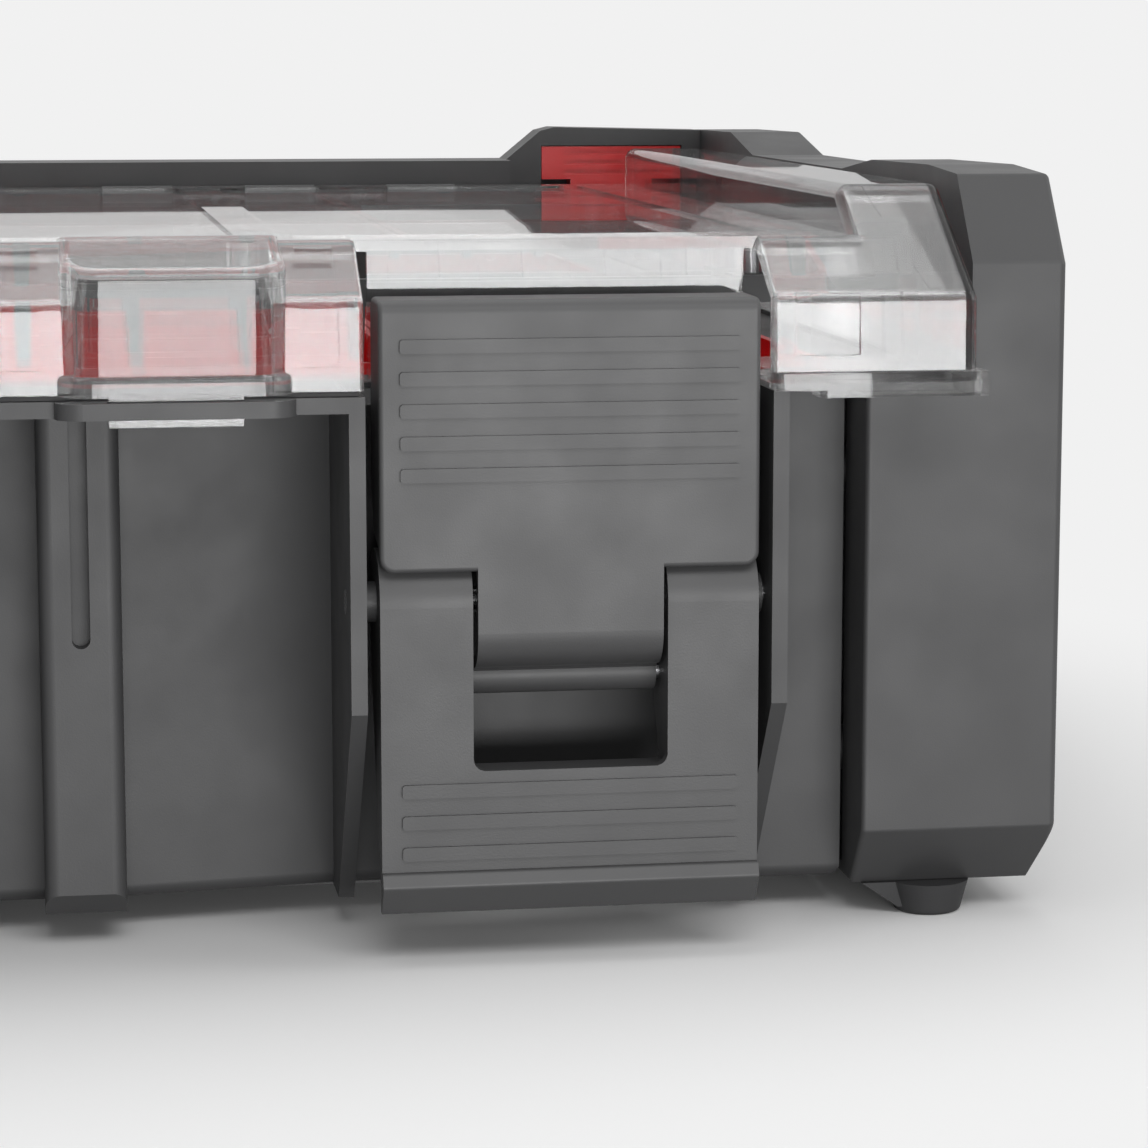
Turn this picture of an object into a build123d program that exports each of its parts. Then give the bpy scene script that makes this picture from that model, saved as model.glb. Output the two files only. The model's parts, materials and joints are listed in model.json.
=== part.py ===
from build123d import *
import os

# Compartment organizer box: dark base tub with corner towers, red bins,
# clear hinged lid and two two-piece toggle latches.
# Millimetres, X to the right, Y to the rear, Z up, origin at the middle of the footprint.

# Overall size
overall_width = 450.0
overall_depth = 339.0
foot_height = 7.0

# Heights above the floor
rim_top = 117.6
bin_rise = 2.4
lid_top = 148.0
lid_crease_drop = 11.0
ridge_rise = 10.0
rail_rise = 6.3
horn_top = 160.0
horn_crease_drop = 18.1
grip_drop = 2.5
hump_top = 163.5

# Clearances
fit_gap = 0.25
seat_gap = 0.1
hinge_gap = 0.05

# Depths measured from the latch front plane
nose_reach = 6.0
tower_setback = 20.0
column_setback = 24.0
corner_wall_setback = 36.0
wall_setback = 40.0
bay_setback = 46.0

# Depths measured forward from the rear end
rail_depth = 24.0
corner_depth = 14.5
upstand_thick = 5.0
hinge_to_rail = 7.0
hinge_to_lid = 7.0
bin_to_tub_end = 7.0
comb_to_lid_end = 15.0

# Widths measured inward from the sides
tower_width = 43.0
panel_width = 20.5
tub_gap = 1.0
rim_gap = 0.9
lid_gap = 3.5
ridge_width = 23.0
comb_margin = 5.0
hump_inward = (78.0, 68.0)
lock_inward = 47.0
latch_inward = 109.0

# Base
base_wall = 2.6
base_floor = 3.0
rim_thick = 3.3
upstand_top = 136.0
gusset_places = (30.0, 90.0, 150.0)
gusset_thick = 3.0
gusset_low = 22.0
gusset_shoulder = 82.0
gusset_toe = 3.0
gusset_margin = 4.0
floor_rib_height = 2.5
floor_rib_thick = 2.2
floor_rib_count = 5
floor_rib_margin = 12.0
latch_width = 78.0
rib_thick = 3.3
rib_gap = 2.7
rib_taper_z = 53.0
rib_heel = 34.0
column_x = (9.0, 26.0)
column_groove_width = 3.8
column_groove_bottom = 64.0
column_groove_depth = 4.0

# Corner towers and grips
tower_wall = 3.0
tower_chamfer = (10.0, 13.5)
horn_chamfer = 14.0
tower_length = 42.0
side_chamfer = 3.6
wing_edge = 1.2
outer_edge = 1.5
inboard_overlap = 2.0
field_start = 78.0
field_from_rear = 59.0
field_z = (32.0, 88.0)
field_depth = 1.0
field_radius = 6.0
field_bars = 5
field_bar_width = 4.0
grip_window_start = 112.0
grip_window_from_rear = 95.0
grip_window_z = (104.0, 141.0)
grip_window_radius = 9.0
dip_start = 110.0
dip_from_rear = 58.0
dip_run = 30.0

# Lid
lid_wall = 2.5
lid_front = 1.6
lid_chamfer = 17.0
recess_setback = 19.5
recess_margin = 2.7
boss_start = 14.3
boss_to_latch = 57.0
boss_front = -4.6
boss_front_drop = 4.4
boss_radius = 8.0
panel_depth = 0.7
lid_lean = 0.6
lid_edge = 3.0
recess_edge = 1.2
boss_edge = 2.5
form_overrun = 20.0
top_band = 10.0
top_field_start = 36.0
top_field_margin = 12.0
top_field_radius = 7.0
flange_z = (116.2, 121.2)
flange_proud = 1.2
flange_step = 9.0
flange_reach = 2.2
seal_thick = 1.0
seal_width = 2.5

# Catch ledge in each latch recess of the lid
ledge_half = 33.0
ledge_front = 4.2
ledge_drop = 3.3
ledge_wall = 2.5

# Hold-down comb under the lid
comb_pitch = 23.45
comb_first = 7.15
comb_start = 49.8
comb_thick = 3.6
comb_drop = 10.2
comb_height = 5.8
comb_ear = 5.0
comb_ear_height = 3.0
comb_post_radius = 3.6
comb_post_inner = 54.0
comb_post_inward = 31.0
comb_screw_length = 8.0
tooth_top_width = 3.8
tooth_tip_width = 2.8

# Bins
bin_gap = 0.8
bin_wall = 1.7
bin_radius = 6.0
bin_first_row = 83.0
bin_start = 49.4
divider_thick = 1.8

# Latch
lever_axis = (11.5, 74.5)
hook_axis = (12.5, 58.5)
lever_front = 0.5
lever_skin = 3.0
lever_roll = 11.0
lever_bottom = 11.0
lever_crease = 20.0
lip_proud = 2.6
lip_bevel = 2.8
lip_edge = 0.9
window_half = 20.1
window_bottom = 40.6
cheek = 2.5
hook_skin = 2.4
hook_bottom = 81.8
hook_gap = 0.3
hook_corner = 3.0
hook_reach = 14.0
hook_top_radius = 2.6
hook_edge = 1.0
tongue_half = 19.1
tongue_bend_z = 69.0
hook_barrel = 3.9
lever_pin_radius = 2.6
hook_pin_radius = 2.0
bar_height = 2.8
bar_pitch = 6.5
bar_half = 34.8
bar_proud = 0.7
hook_bar_top = 129.0
hook_bar_count = 5
lever_bar_top = 38.2
lever_bar_count = 3

# Lid hinge
knuckle_radius = 4.2
hinge_pin_radius = 1.5
hinge_start = 30.0
hinge_to_hump = 17.0
knuckle_count = 5
knuckle_room = 0.6
rail_hollow_margin = 4.0
rail_boss = 6.0
rail_screw_drop = 20.0
rail_screw_to_hump = 7.0

# Stack locks in the rear corners
lock_half = 20.5
lock_stem_half = 12.0
lock_drop = 5.5
lock_height = 9.5
lock_stem_height = 7.5
lock_depth = 7.4
lock_travel = 4.0
lock_rail = 1.5
spring_radius = 2.6
spring_wire = 0.6
spring_turns = 6
spring_room = 8.0
spring_gap = 0.4
lock_sink = 0.5
lock_rib_half = 14.0
lock_rib_pitch = 2.8
lock_rib_cut = 1.2
lock_rib_depth = 0.8

# Screws and feet
screw_radius = 1.75
screw_head_radius = 3.4
screw_head_height = 2.0
screw_sink = 3.2
wing_screw_front = 26.0
wing_screw_rear = 8.0
wing_screw_z = (34.0, 96.0)
drive_slot = (3.4, 0.9, 1.2)
head_round = 0.9
screw_tube_radius = 5.0
head_gap = 0.4
foot_radius = (7.2, 9.0)
foot_inward = 25.0
foot_setback = 33.0
foot_web = (2.5, 10.5)
foot_web_half = 4.0
foot_web_low = 1.5
spigot_radius = 2.4

# Places worked out from the sizes above
half_width = overall_width / 2
latch_plane = -overall_depth / 2 + nose_reach
rear_offset = overall_depth - nose_reach
rail_front = rear_offset - rail_depth
corner_front = rear_offset - corner_depth
tub_depth_end = rail_front - upstand_thick
hinge_axis = (rail_front - hinge_to_rail, lid_top - knuckle_radius)
lid_rear = hinge_axis[0] - hinge_to_lid
bin_end = tub_depth_end - bin_to_tub_end
comb_rear = lid_rear - comb_to_lid_end
dip_end = rear_offset - dip_from_rear
grip_window = (grip_window_start, rear_offset - grip_window_from_rear, *grip_window_z)
field_frame = (field_start, rear_offset - field_from_rear, *field_z)
top_field_y = (top_field_start, lid_rear - top_field_margin)

tower_inner = half_width - tower_width
horn_inner = half_width - panel_width
tub_half = tower_inner - tub_gap
rim_half = horn_inner - rim_gap
lid_half = horn_inner - lid_gap
ridge_inner = lid_half - ridge_width
comb_half = lid_half - comb_margin
hump_x = (half_width - hump_inward[0], half_width - hump_inward[1])
lock_centre = half_width - lock_inward
latch_centre = half_width - latch_inward
boss_x = (boss_start, latch_centre - boss_to_latch)
hinge_reach = (hinge_start, hump_x[0] - hinge_to_hump)
foot_place = (half_width - foot_inward, foot_setback)
bin_pitch = (tub_half - base_wall - fit_gap + bin_gap / 2) / 2

bin_top = rim_top + bin_rise
lid_crease_z = lid_top - lid_crease_drop
ridge_top = lid_top + ridge_rise
rail_top = lid_top + rail_rise
rail_screw_z = lid_top - rail_screw_drop
horn_crease_z = horn_top - horn_crease_drop
grip_top = horn_top - grip_drop
boss_top_front = lid_top - boss_front_drop
hook_top = lid_crease_z - hook_gap
ledge_top = hook_top - ledge_drop
comb_z = (lid_top - comb_drop - comb_height, lid_top - comb_drop)
lock_top = hump_top - lock_drop
lock_z = (lock_top - lock_height - lock_stem_height, lock_top - lock_height, lock_top)


def from_front(offset):
    """Y of a plane that lies offset behind the latch front plane."""
    return latch_plane + offset


def block(x, y, z):
    """Box between pairs of coordinates, y measured from the latch plane."""
    size = Box(x[1] - x[0], y[1] - y[0], z[1] - z[0], align=(Align.MIN, Align.MIN, Align.MIN))
    return Pos(x[0], from_front(y[0]), z[0]) * size


def slab_x(points, x0, x1):
    """Outline of (setback, z) points, extruded along X."""
    outline = Polygon(*[(from_front(y), z) for y, z in points], align=None)
    return extrude(Plane.YZ.offset(x0) * outline, x1 - x0, dir=(1, 0, 0))


def slab_y(points, y0, y1):
    """Outline of (x, z) points, extruded along Y between two setbacks."""
    outline = Polygon(*points, align=None)
    return extrude(Plane.XZ.offset(-from_front(y0)) * outline, y1 - y0, dir=(0, 1, 0))


def slab_z(points, z0, z1):
    """Outline of (x, setback) points, extruded along Z."""
    outline = Polygon(*[(x, from_front(y)) for x, y in points], align=None)
    return extrude(Plane.XY.offset(z0) * outline, z1 - z0, dir=(0, 0, 1))


def rod_x(x0, x1, y, z, radius):
    """Cylinder along X at a setback and height."""
    bar = Cylinder(radius, x1 - x0, align=(Align.CENTER, Align.CENTER, Align.MIN))
    return Pos(x0, from_front(y), z) * Rot(0, 90, 0) * bar


def rod_y(x, y0, y1, z, radius):
    """Cylinder along Y between two setbacks."""
    bar = Cylinder(radius, y1 - y0, align=(Align.CENTER, Align.CENTER, Align.MIN))
    return Pos(x, from_front(y0), z) * Rot(-90, 0, 0) * bar


def rod_z(x, y, z0, z1, radius):
    """Cylinder along Z at a setback."""
    bar = Cylinder(radius, z1 - z0, align=(Align.CENTER, Align.CENTER, Align.MIN))
    return Pos(x, from_front(y), z0) * bar


def mirrored(shape):
    """The same shape on the other side of the middle plane."""
    return mirror(shape, about=Plane.YZ)


def both(shape):
    return shape + mirrored(shape)


def rounded(shape, axis, radius):
    """Shape with all edges along one axis rounded."""
    return fillet(shape.edges().filter_by(axis), radius)


# Base tub
def tub_outline(inset):
    """Outline of the tub wall in plan, shrunk by an inset."""
    bay_half = latch_width / 2 + rib_gap + rib_thick / 2
    x_bay = (latch_centre - bay_half, latch_centre + bay_half)
    right = [
        (column_x[1], wall_setback + inset),
        (x_bay[0], bay_setback + inset),
        (x_bay[1] + inset, bay_setback + inset),
        (x_bay[1] + inset, corner_wall_setback + inset),
        (tub_half - inset, corner_wall_setback + inset),
        (tub_half - inset, tub_depth_end - inset),
    ]
    left = [(-x, y) for x, y in reversed(right)]
    return right + left


def rim_outline():
    """Outline of the rim plate in plan."""
    rib_inner = latch_centre - latch_width / 2 - rib_gap
    rib_outer = latch_centre + latch_width / 2 + rib_gap
    right = [
        (rib_inner, 0.0),
        (rib_inner, recess_setback - lid_wall),
        (rib_outer, recess_setback - lid_wall),
        (rib_outer, 0.0),
        (rib_outer + rib_thick, 0.0),
        (rib_outer + rib_thick, corner_wall_setback - rib_thick),
        (rim_half, corner_wall_setback - rib_thick),
        (rim_half, rear_offset),
    ]
    left = [(-x, y) for x, y in reversed(right)]
    return right + left


def rim_nose(x0, x1):
    """Rounded nose of the rim under one lid boss, with the slot for the lid tab."""
    nose = block((x0, x1), (-nose_reach, wall_setback / 2), (rim_top - rim_thick, rim_top))
    front_edges = nose.edges().filter_by(Axis.Z).sort_by(Axis.Y)[:2]
    return fillet(front_edges, nose_reach - 0.5)


def rib(x0):
    """Deep rib beside a latch, with the hole for the lever pin."""
    profile = [
        (bay_setback + base_wall, rim_top - rim_thick / 2),
        (0.0, rim_top - rim_thick / 2),
        (0.0, rib_taper_z),
        (rib_heel, foot_height),
        (bay_setback + base_wall, foot_height),
    ]
    plate = slab_x(profile, x0, x0 + rib_thick)
    return plate - rod_x(x0 - 1, x0 + rib_thick + 1, lever_axis[0], lever_axis[1], lever_pin_radius)


def column():
    """Rounded column under the rim with its long groove."""
    x0, x1 = column_x
    heel = 5.0
    profile = [
        (wall_setback + base_wall, foot_height),
        (column_setback + heel, foot_height),
        (column_setback, foot_height + heel),
        (column_setback, rim_top - 1),
        (wall_setback + base_wall, rim_top - 1),
    ]
    post = slab_x(profile, x0, x1)
    post = fillet(post.edges().filter_by(Axis.Z).sort_by(Axis.Y)[:2], 3.0)
    middle = (x0 + x1) / 2
    half = column_groove_width / 2
    depth = (column_setback - 1, column_setback + column_groove_depth)
    groove = block((middle - half, middle + half), depth, (column_groove_bottom + half, rim_top))
    tip = rod_y(middle, depth[0], depth[1], column_groove_bottom + half, half)
    return post - groove - tip


def base_tub():
    outer = slab_z(tub_outline(0.0), foot_height, rim_top - rim_thick / 2)
    outer = fillet(outer.faces().sort_by(Axis.Z)[0].edges(), 3.0)
    rim = slab_z(rim_outline(), rim_top - rim_thick, rim_top)
    tub = outer + rim
    nose_x = (boss_x[0] - 1.5, boss_x[1] + 1.5)
    tub += both(rim_nose(*nose_x))
    rib_inner = latch_centre - latch_width / 2 - rib_gap - rib_thick
    rib_outer = latch_centre + latch_width / 2 + rib_gap
    tub += both(rib(rib_inner) + rib(rib_outer))
    tub += both(column())
    tub += rear_upstand()
    for x in gusset_places:
        tub += both(gusset(x))
    tub += floor_ribs()
    inner = slab_z(tub_outline(base_wall), foot_height + base_floor, rim_top + 1)
    tub -= inner
    tub -= both(tab_slot())
    for x in rail_screw_places():
        tub -= rod_y(x, tub_depth_end - base_wall - 1, rail_front, rail_screw_z, screw_radius + hinge_gap)
    for y, z in wing_screw_places():
        hole = rod_x(tub_half - base_wall - 1, tub_half + 1, y, z, screw_radius + hinge_gap)
        tub -= both(hole)
    return tub


def gusset(x):
    """Upright web under the rear of the rim."""
    foot = tub_depth_end - base_wall / 2
    profile = [
        (foot, gusset_low),
        (foot + gusset_toe, gusset_low),
        (rear_offset - gusset_margin, gusset_shoulder),
        (rear_offset - gusset_margin, rim_top - rim_thick / 2),
        (foot, rim_top - rim_thick / 2),
    ]
    return slab_x(profile, x - gusset_thick / 2, x + gusset_thick / 2)


def floor_ribs():
    """Low ribs that stiffen the underside, clear of what the box stands on."""
    z = (foot_height - floor_rib_height, foot_height + base_floor / 2)
    front, back = bay_setback + floor_rib_margin, tub_depth_end - floor_rib_margin
    half = tub_half - floor_rib_margin
    ribs = Part()
    for index in range(floor_rib_count):
        share = index / (floor_rib_count - 1)
        x = -half + share * 2 * half
        y = front + share * (back - front)
        ribs += block((x - floor_rib_thick / 2, x + floor_rib_thick / 2), (front, back), z)
        ribs += block((-half, half), (y - floor_rib_thick / 2, y + floor_rib_thick / 2), z)
    return ribs


def rear_upstand():
    """Low wall behind the bins that the hinge rail is screwed to."""
    z = (rim_top - rim_thick, upstand_top)
    return block((-rim_half, rim_half), (tub_depth_end - base_wall, rail_front), z)


def rail_screw_places():
    reach = hump_x[0] - rail_screw_to_hump
    return [reach * index / 2 for index in range(-2, 3)]


def wing_screw_places():
    """Setback and height of the screws through one corner tower pair."""
    front_y = tower_setback + wing_screw_front
    rear_y = rear_offset - tower_length + wing_screw_rear
    return [(y, z) for y in (front_y, rear_y) for z in wing_screw_z]


# The clear tab of the lid passes through this slot
tab_inset = 9.1
tab_y = (-3.6, -1.6)
tab_drop = 5.0
tab_x = (boss_x[0] + tab_inset, boss_x[1] - tab_inset)
tab_bottom = rim_top - tab_drop


def tab_slot():
    x = (tab_x[0] - fit_gap, tab_x[1] + fit_gap)
    y = (tab_y[0] - fit_gap, tab_y[1] + fit_gap)
    return block(x, y, (rim_top - rim_thick - 1, rim_top + 1))


# Side wings with corner towers
def wing_contour():
    """Outline of a wing seen from the side, as (setback, z)."""
    depth, height = tower_chamfer
    front = tower_setback
    back = rear_offset
    return [
        (front + depth, foot_height),
        (front, foot_height + height),
        (front, horn_crease_z),
        (front + horn_chamfer, horn_top),
        (front + horn_chamfer + 24.0, horn_top + 1.2),
        (dip_start, horn_top + 0.6),
        (dip_start + dip_run, grip_top),
        (dip_end - dip_run, grip_top),
        (dip_end, hump_top - 0.5),
        (back - 4.0, hump_top - 1.0),
        (back, hump_top - 5.0),
        (back, foot_height + height),
        (back - depth, foot_height),
    ]


def edges_in_plane(shape, x):
    """Edges of the shape that lie in the plane at x."""
    return shape.edges().filter_by(lambda e: max(abs((e @ 0).X - x), abs((e @ 1).X - x)) < 0.01)


def wing_clearance():
    """Space inboard of the wing panel that only the two tower blocks fill."""
    beside = (tower_inner - 1, horn_inner)
    between = (tower_setback + tower_length, rear_offset - tower_length)
    space = block(beside, between, (0.0, hump_top + 1))
    return space + block(beside, (0.0, rear_offset + 1), (rim_top - rim_thick, hump_top + 1))


def side_wing():
    """Right wing: outer panel, two hollow towers and the grip bar between the horns."""
    wing = rounded(slab_x(wing_contour(), tower_inner, half_width), Axis.X, wing_edge)
    wing = fillet(edges_in_plane(wing, half_width), outer_edge)
    wing -= wing_clearance()
    foremost = from_front(tower_setback + tower_chamfer[0])
    front = edges_in_plane(wing, tower_inner).filter_by(lambda e: (e @ 0.5).Y < foremost)
    wing = fillet(front, wing_edge)
    wing -= wing_cavities()
    wing -= grip_opening()
    wing -= outer_bottom_chamfer(0.0)
    wing -= wing_field()
    for y, z in wing_screw_places():
        wing += rod_x(tower_inner, half_width - screw_sink, y, z, screw_tube_radius)
        wing -= rod_x(tower_inner - 1, half_width + 1, y, z, screw_radius + hinge_gap)
        wing -= rod_x(half_width - screw_sink, half_width + 1, y, z, screw_head_radius + head_gap)
    for y in foot_rows():
        wing -= rod_z(foot_place[0], y, foot_height - 1, foot_height + tower_wall + 1, spigot_radius + seat_gap)
    return wing


def tower_cavity():
    """Side outline of the hollow of the front tower, one wall inside its faces."""
    depth, height = tower_chamfer
    front = tower_setback + tower_wall
    back = tower_setback + tower_length - tower_wall
    low = foot_height + tower_wall
    high = rim_top - rim_thick - tower_wall
    return [(front + depth, low), (front, low + height), (front, high), (back, high), (back, low)]


def to_rear(points):
    """The same outline at the rear end of the wing."""
    return [(tower_setback + rear_offset - y, z) for y, z in points]


def wing_cavities():
    """Hollows of the towers, of the skirt under the grip opening and of the horns."""
    skin = (horn_inner + tower_wall, half_width - tower_wall)
    low = foot_height + tower_wall
    y0 = tower_setback + tower_length - tower_wall - 1
    y1 = rear_offset - tower_length + tower_wall + 1
    space = slab_x(tower_cavity(), tower_inner - 1, skin[1])
    space += slab_x(to_rear(tower_cavity()), tower_inner - 1, skin[1])
    space += block(skin, (y0, y1), (low, grip_window[2] - tower_wall))
    horn_z = (rim_top - rim_thick - tower_wall - 1, horn_crease_z)
    front_y = (tower_setback + horn_chamfer, grip_window[0] - tower_wall)
    rear_y = (grip_window[1] + tower_wall, rear_offset - tower_wall)
    space += block(skin, front_y, horn_z) + block(skin, rear_y, horn_z)
    inboard = (tower_inner - 1, tower_inner + tower_wall)
    shut = block(inboard, (0.0, corner_wall_setback + inboard_overlap), (0.0, rim_top))
    shut += block(inboard, (tub_depth_end - inboard_overlap, rear_offset), (0.0, rim_top))
    return space - shut - outer_bottom_chamfer(tower_wall)


def grip_opening():
    y0, y1, z0, z1 = grip_window
    hole = block((horn_inner - 1, half_width + 1), (y0, y1), (z0, z1))
    return rounded(hole, Axis.X, grip_window_radius)


def outer_bottom_chamfer(inset):
    """Wedge along the outer lower edge of the wing, moved inboard by an inset."""
    low = foot_height
    outer = half_width - inset
    points = [
        (half_width + 1, low - 1),
        (outer - side_chamfer, low - 1),
        (outer - side_chamfer, low),
        (outer, low + tower_chamfer[1]),
        (half_width + 1, low + tower_chamfer[1]),
    ]
    return slab_y(points, 0.0, rear_offset + 1)


def wing_field():
    """Shallow framed field in the outer face below the grip window, with upright bars left in it."""
    y0, y1, z0, z1 = field_frame
    field = block((half_width - field_depth, half_width + 1), (y0, y1), (z0, z1))
    field = rounded(field, Axis.X, field_radius)
    step = (y1 - y0) / (field_bars + 1)
    for index in range(1, field_bars + 1):
        middle = y0 + index * step
        bar = (middle - field_bar_width / 2, middle + field_bar_width / 2)
        field -= block((half_width - field_depth - 1, half_width + 2), bar, (z0 - 1, z1 + 1))
    return field


def foot_rows():
    """Setbacks of the front and rear feet."""
    return (foot_place[1], rear_offset + tower_setback - foot_place[1])


def foot(side, y):
    """Tapered foot with its spigot and a flared web towards the tub."""
    x = side * foot_place[0]
    cone = Cone(foot_radius[0], foot_radius[1], foot_height, align=(Align.CENTER, Align.CENTER, Align.MIN))
    body = Pos(x, from_front(y), 0) * cone
    body = fillet(body.edges().sort_by(Axis.Z)[0], 1.2)
    near, toe = tower_inner + foot_web[0], tower_inner + foot_web[1]
    flare = [(near, foot_height), (toe, foot_web_low), (foot_place[0], foot_web_low), (foot_place[0], foot_height)]
    web = slab_y([(side * web_x, z) for web_x, z in flare], y - foot_web_half, y + foot_web_half)
    spigot = rod_z(x, y, foot_height - 1, foot_height + tower_wall, spigot_radius)
    return body + web + spigot


# Hinge rail across the rear with the two raised corners
def rail_contour():
    x0, x1 = hump_x
    inner = horn_inner - seat_gap
    right = [(inner, rim_top), (inner, hump_top - 1.0), (x1 + 4.0, hump_top), (x1, hump_top - 1.0), (x0, rail_top)]
    left = [(-x, z) for x, z in reversed(right)]
    return right + left


def rear_rail():
    rail = slab_y(rail_contour(), rail_front, rear_offset)
    rail = fillet(rail.edges().filter_by(Axis.Y).group_by(Axis.Z)[-1], 1.5)
    for side in (-1, 1):
        x = sorted((side * hump_x[0], side * (horn_inner + 1)))
        rail -= block(x, (rail_front - 1, corner_front), (rim_top - 1, hump_top + 1))
    rail -= rail_hollow()
    for x in rail_screw_places():
        boss = (x - rail_boss, x + rail_boss)
        rail += block(boss, (rail_front, rear_offset - wing_edge), (rim_top, rail_screw_z + rail_boss))
        rail -= rod_y(x, rail_front - 1, rear_offset + 1, rail_screw_z, screw_radius + hinge_gap)
        rail -= rod_y(x, rear_offset - screw_sink, rear_offset + 1, rail_screw_z, screw_head_radius + head_gap)
    rail += hinge_knuckles(base_side=True)
    rail -= both(lock_pocket())
    return rail


def rail_hollow():
    """Hollow of the straight middle of the rail, open at the bottom."""
    y = (rail_front + tower_wall, rear_offset - tower_wall)
    reach = hump_x[0] - rail_hollow_margin
    return block((-reach, reach), y, (rim_top - 1, rail_top - tower_wall))


def knuckle_spans():
    """X spans of the knuckles of the right hinge, base and lid knuckles in turn."""
    x0, x1 = hinge_reach
    step = (x1 - x0) / knuckle_count
    spans = []
    for index in range(knuckle_count):
        start = x0 + index * step + fit_gap
        spans.append((start, start + step - 2 * fit_gap))
    return spans


def hinge_knuckles(base_side):
    """Knuckles of both hinges that belong to the base rail or to the lid."""
    y, z = hinge_axis
    knuckles = Part()
    for index, (x0, x1) in enumerate(knuckle_spans()):
        if (index % 2 == 0) != base_side:
            continue
        barrel = rod_x(x0, x1, y, z, knuckle_radius)
        if base_side:
            web = block((x0, x1), (y, rail_front + 1), (z - knuckle_radius, z + 1.0))
        else:
            web = block((x0, x1), (lid_rear - 1, y), (lid_top - lid_wall, lid_top))
        bore_radius = hinge_pin_radius if base_side else hinge_pin_radius + hinge_gap
        knuckles += barrel + web - rod_x(x0 - 1, x1 + 1, y, z, bore_radius)
    return both(knuckles)


def hinge_pin():
    """Pin of the right hinge."""
    return rod_x(hinge_reach[0] + fit_gap, hinge_reach[1] - fit_gap, *hinge_axis, hinge_pin_radius)


# Stack locks
def lock_shape(grow, travel):
    """T-shaped slider with side rails; grown and lengthened it is the pocket."""
    low, shoulder, top = lock_z
    y0 = corner_front + (lock_sink if grow == 0 else -1.0)
    y1 = corner_front + lock_sink + lock_depth + grow
    half = lock_half + grow
    stem = lock_stem_half + grow
    x = lock_centre
    shape = block((x - half, x + half), (y0, y1), (shoulder - grow - travel, top + grow))
    shape += block((x - stem, x + stem), (y0, y1), (low - grow - travel, top))
    rail_y = (y1 - lock_depth / 2 - 2 * grow, y1)
    rail_x = half + lock_rail
    shape += block((x - rail_x, x + rail_x), rail_y, (shoulder - grow - travel, top + grow))
    return shape


def lock_pocket():
    pocket = lock_shape(fit_gap, lock_travel)
    bore = spring_radius + spring_wire + spring_gap
    return pocket + rod_z(lock_centre, lock_spring_y(), spring_seat(), lock_z[0], bore)


def spring_seat():
    """Height of the floor under the spring."""
    return lock_z[0] - lock_travel - spring_room - fit_gap


def lock_spring_y():
    return corner_front + lock_sink + lock_depth / 2


def stack_lock():
    """Red push slider of the right rear corner, with finger ribs."""
    lock = lock_shape(0.0, 0.0)
    for index in range(3):
        z = lock_z[1] + (index + 0.5) * lock_rib_pitch
        x = (lock_centre - lock_rib_half, lock_centre + lock_rib_half)
        cut = block(x, (corner_front, corner_front + lock_sink + lock_rib_depth), (z, z + lock_rib_cut))
        lock -= cut
    return lock


def lock_spring():
    """Coil under the right lock, from the pocket floor to the slider."""
    top = lock_z[0] - hinge_gap
    bottom = spring_seat() + hinge_gap
    height = top - bottom - 2 * spring_wire
    pitch = height / spring_turns
    centre = Pos(lock_centre, from_front(lock_spring_y()), bottom + spring_wire)
    path = Helix(pitch=pitch, height=height, radius=spring_radius)
    section = Plane(path @ 0, z_dir=path % 0) * Circle(spring_wire)
    coil = sweep(section, path=path)
    return centre * coil


# Lid
def lid_profile(inset, top):
    """Side outline of the lid for one height of its top, shrunk by an inset."""
    slope = (lid_top - lid_crease_z) / lid_chamfer
    back = lid_front + (top - lid_crease_z) / slope
    rear = lid_rear + (form_overrun if inset >= lid_wall else 0)
    low = lid_low(inset)
    return [
        (lid_front - lid_lean + inset, low),
        (lid_front + inset, lid_crease_z - inset * 0.3),
        (back + inset * 0.3, top - inset),
        (rear, top - inset),
        (rear, low),
    ]


def softened(shape, low, radius):
    """Shape with its front, side and upper edges rounded; its bottom and rear stay sharp."""
    def shows(edge):
        high = max((edge @ 0).Z, (edge @ 1).Z) > low + 1
        return high and (edge @ 0.5).Y < from_front(lid_rear) - 0.1
    return fillet(shape.edges().filter_by(shows), radius)


def recess_span(inset):
    half = latch_width / 2 + recess_margin - inset
    return (latch_centre - half, latch_centre + half)


def lid_low(inset):
    """Lower end of the lid's walls; the inner form runs on below it."""
    return rim_top + seal_thick + seat_gap - (form_overrun if inset else 0)


def lid_boss(inset):
    """Rounded bulge of the lid front over a rim nose, with a sloping top."""
    x0, x1 = boss_x
    low = lid_low(inset)
    profile = [
        (boss_front + 0.8 + inset, low),
        (boss_front + inset, boss_top_front - inset * 0.8),
        (recess_setback, lid_top + 1.0 - inset),
        (recess_setback + 8.0, lid_top - inset),
        (recess_setback + 8.0, low),
    ]
    bulge = slab_x(profile, x0 + inset, x1 - inset)
    corners = bulge.edges().filter_by(lambda e: abs(e.tangent_at(0.5).Z) > 0.9).sort_by(Axis.Y)[:2]
    bulge = fillet(corners, boss_radius - inset)
    if inset >= lid_wall:
        return bulge
    top = bulge.edges().filter_by(lambda e: min((e @ 0).Z, (e @ 1).Z) > low + 1)
    top = top.filter_by(lambda e: (e @ 0.5).Y < from_front(recess_setback) - 0.1)
    return fillet(top, boss_edge)


def lid_form(inset):
    """Solid form of the lid shrunk by an inset; two of them make the shell."""
    half = lid_half - inset
    main = slab_x(lid_profile(inset, lid_top), -half, half)
    ridge = slab_x(lid_profile(inset, ridge_top), ridge_inner + inset, half)
    outermost = inset < lid_wall
    if outermost:
        main = softened(main, lid_low(inset), lid_edge)
        ridge = softened(ridge, lid_low(inset), lid_edge)
    form = main + both(ridge)
    span = recess_span(inset)
    bay = block(span, (-nose_reach - 1, recess_setback + inset), (0.0, ridge_top + 1))
    form -= both(bay)
    if outermost:
        form = fillet(form.edges().filter_by(lambda e: beside_recess(e, span)), recess_edge)
    return form + both(lid_boss(inset))


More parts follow.
